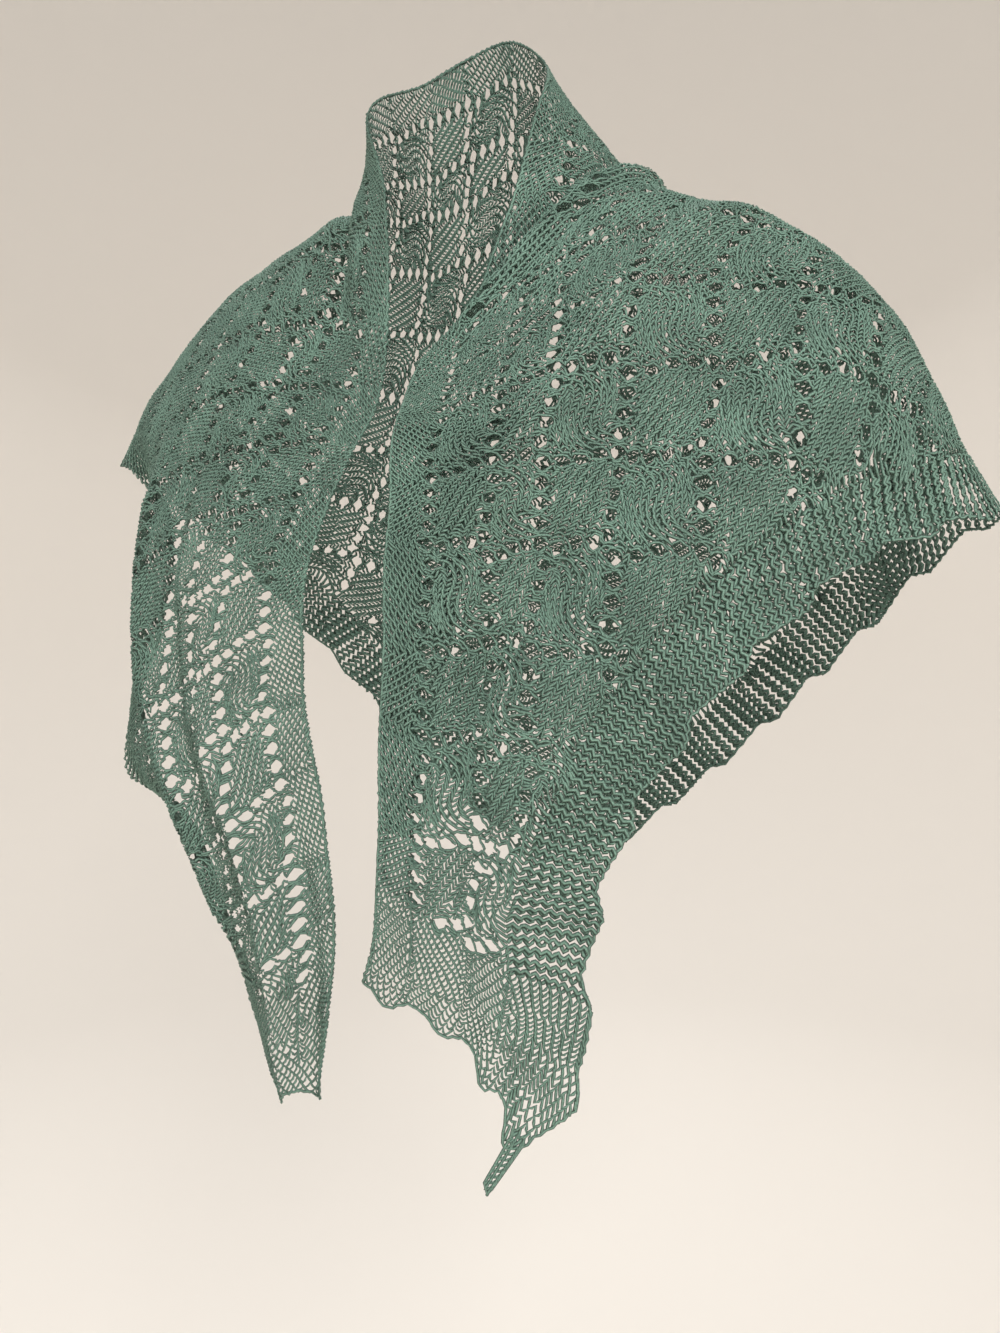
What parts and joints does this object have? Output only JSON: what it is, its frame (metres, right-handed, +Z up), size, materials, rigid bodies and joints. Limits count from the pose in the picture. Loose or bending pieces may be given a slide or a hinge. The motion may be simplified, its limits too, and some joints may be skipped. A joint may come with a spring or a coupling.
{
  "type": "lace shawl",
  "caption": "Hand-knitted lace shawl worn round the neck and shoulders, both ends hanging at the front, with a pointed edging.",
  "frame": {"origin": "where the wearer's neck meets the shoulders, in the middle of the neck", "axes": "+Z up, -Y the way the wearer faces, +X the wearer's left"},
  "size_m": [0.5949, 0.301, 0.5973],
  "materials": {
    "lace": "hand-knitted fine wool in lace stitch, matt, slightly hairy",
    "edging": "hand-knitted fine wool in garter and open stitch, matt, slightly hairy"
  },
  "bodies": {
    "root": {"collar": "lace", "back": "lace", "right_yoke": "lace", "left_yoke": "lace", "right_shoulder": "lace", "left_shoulder": "lace", "right_front": "lace", "left_front": "lace", "left_turned_edge": "lace", "back_edging": "edging", "right_yoke_edging": "edging", "left_yoke_edging": "edging", "right_arm_edging": "edging", "left_arm_edging": "edging", "right_front_edging": "edging", "left_front_edging": "edging", "right_tip": "edging", "left_tip": "edging"}
  },
  "joints": []
}
